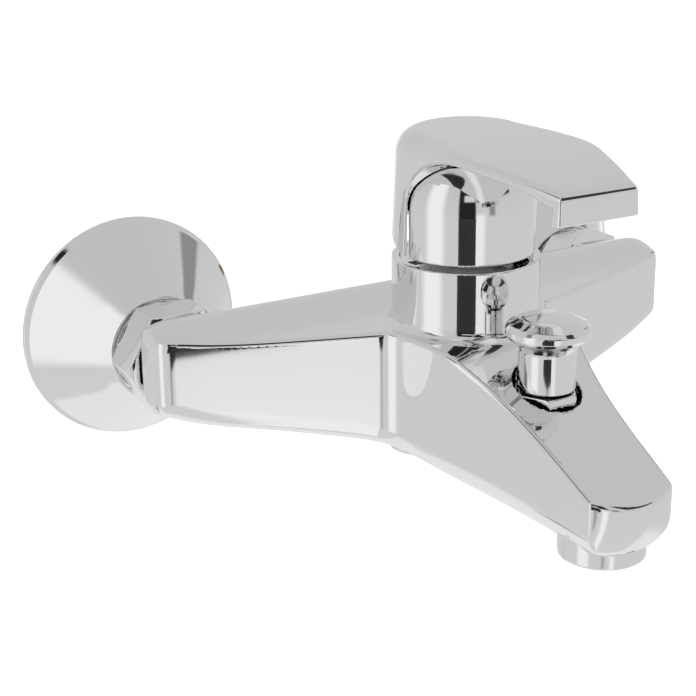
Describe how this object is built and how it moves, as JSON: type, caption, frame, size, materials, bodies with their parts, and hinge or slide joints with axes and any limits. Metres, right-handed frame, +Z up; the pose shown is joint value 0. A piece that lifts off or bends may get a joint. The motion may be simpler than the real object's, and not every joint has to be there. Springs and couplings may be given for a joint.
{
  "type": "wall mounted bath faucet",
  "caption": "Wall mounted single lever bath mixer with a sloping spout, a pull-up shower diverter, eccentric wall unions and a shower hose outlet below.",
  "frame": {"origin": "point on the finished wall, midway between the two inlet nut axes", "axes": "+X along the bar to the right inlet seen from the front, +Y into the wall, +Z up"},
  "size_m": [0.22, 0.176, 0.1067],
  "materials": {
    "polished_chrome": "polished chrome plate on brass",
    "brass": "machined brass",
    "disc_ceramic": "lapped alumina",
    "plastic": "moulded acetal",
    "rubber": "black elastomer",
    "fibre": "red fibre",
    "index_plug": "gloss plastic with hot and cold halves",
    "spring_steel": "drawn stainless steel"
  },
  "bodies": {
    "root": {"body": "polished_chrome", "escutcheon_left": "polished_chrome", "eccentric_union_left": "brass", "inlet_washer_left": "fibre", "inlet_nipple_left": "brass", "union_nut_left": "polished_chrome", "escutcheon_right": "polished_chrome", "eccentric_union_right": "brass", "inlet_washer_right": "fibre", "inlet_nipple_right": "brass", "union_nut_right": "polished_chrome", "cartridge_base": "plastic", "cartridge_seals": "rubber", "cartridge_housing": "plastic", "housing_clip": "spring_steel", "fixed_disc": "disc_ceramic", "cartridge_nut": "brass", "diverter_bonnet": "brass", "diverter_seal": "rubber", "diverter_spring": "spring_steel", "aerator_shell": "polished_chrome", "aerator_insert": "plastic", "aerator_washer": "rubber", "check_valve_body": "plastic", "check_valve_spring": "spring_steel"},
    "rotor": {"stem_holder": "plastic", "stem_pin": "spring_steel", "dome_cap": "polished_chrome"},
    "lever": {"lever_stem": "brass", "handle": "polished_chrome", "handle_screw": "spring_steel", "index_plug": "index_plug"},
    "disc_sledge": {"moving_disc": "disc_ceramic", "disc_carrier": "plastic"},
    "diverter": {"diverter_stem": "brass", "diverter_knob": "polished_chrome", "lower_valve_washer": "rubber", "upper_valve_washer": "rubber"},
    "poppet": {"check_valve_poppet": "plastic"}
  },
  "joints": [
    {"name": "handle_turn", "type": "hinge", "parent": "root", "child": "rotor", "pos_m": [0, -0.0772, 0.046], "axis": [0, 0, 1], "range_deg": [-45, 45]},
    {"name": "handle_lift", "type": "hinge", "parent": "rotor", "child": "lever", "pos_m": [0, -0.0772, 0.046], "axis": [-1, 0, 0], "range_deg": [0, 22]},
    {"name": "disc_slide", "type": "slide", "parent": "rotor", "child": "disc_sledge", "axis": [0, -1, 0], "range_m": [0, 0.0042]},
    {"name": "diverter_lift", "type": "slide", "parent": "root", "child": "diverter", "axis": [0, 0, 1], "range_m": [0, 0.0058], "stiffness_N_per_m": 300, "springref_m": -0.005, "deforming": ["diverter_spring"]},
    {"name": "poppet_slide", "type": "slide", "parent": "root", "child": "poppet", "axis": [0, 0, -1], "range_m": [0, 0.0012], "stiffness_N_per_m": 50, "springref_m": -0.003, "deforming": ["check_valve_spring"]}
  ],
  "couplings": [
    {"joint": "disc_slide", "follows": "handle_lift", "m_per_rad": 0.01073}
  ]
}
